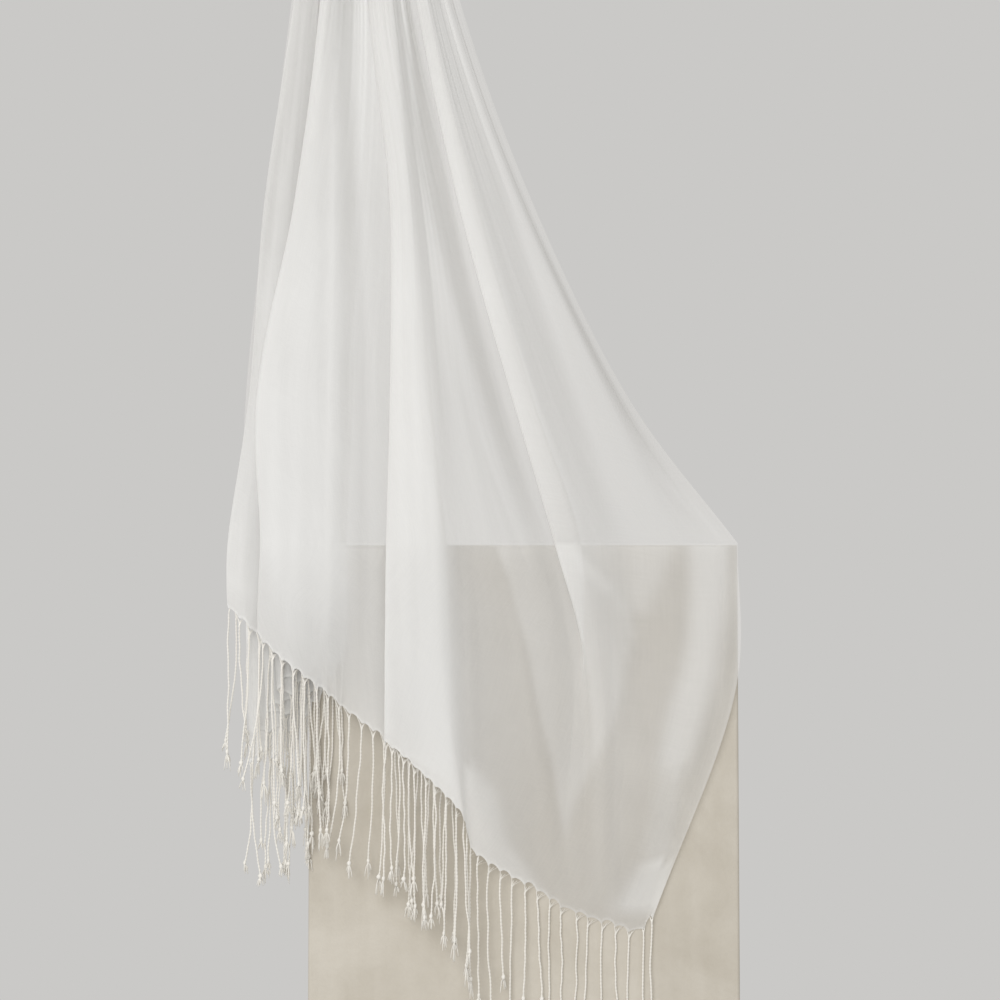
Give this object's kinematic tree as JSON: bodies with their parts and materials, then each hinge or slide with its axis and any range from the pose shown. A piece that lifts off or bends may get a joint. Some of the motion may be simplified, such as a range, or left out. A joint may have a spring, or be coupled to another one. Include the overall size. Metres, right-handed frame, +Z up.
{
  "type": "fringed shawl hijab draped over a display plinth and a scarf rod",
  "caption": "Sheer white shawl hijab with knotted fringe, gathered over a plain wall rod and draped over the corner of a plain display plinth.",
  "frame": {"origin": "middle of the plinth's base, on the floor", "axes": "+Z up, +X to the viewer's right, +Y towards the wall behind the plinth; the draped face looks along -Y"},
  "size_m": [0.4768, 0.3125, 1.565],
  "materials": {
    "voile": "sheer matt white plain weave",
    "tassels": "matt white twisted yarn",
    "plinth_board": "matt mottled beige mineral paint",
    "rod_paint": "satin off-white powder coat"
  },
  "bodies": {
    "root": {"plinth": "plinth_board", "front_fall": "voile", "front_fringe": "tassels", "rear_fall": "voile", "rear_fringe": "tassels", "rod_turn": "voile", "scarf_rod": "rod_paint", "rod_stop": "rod_paint", "wall_plate": "rod_paint"}
  },
  "joints": []
}
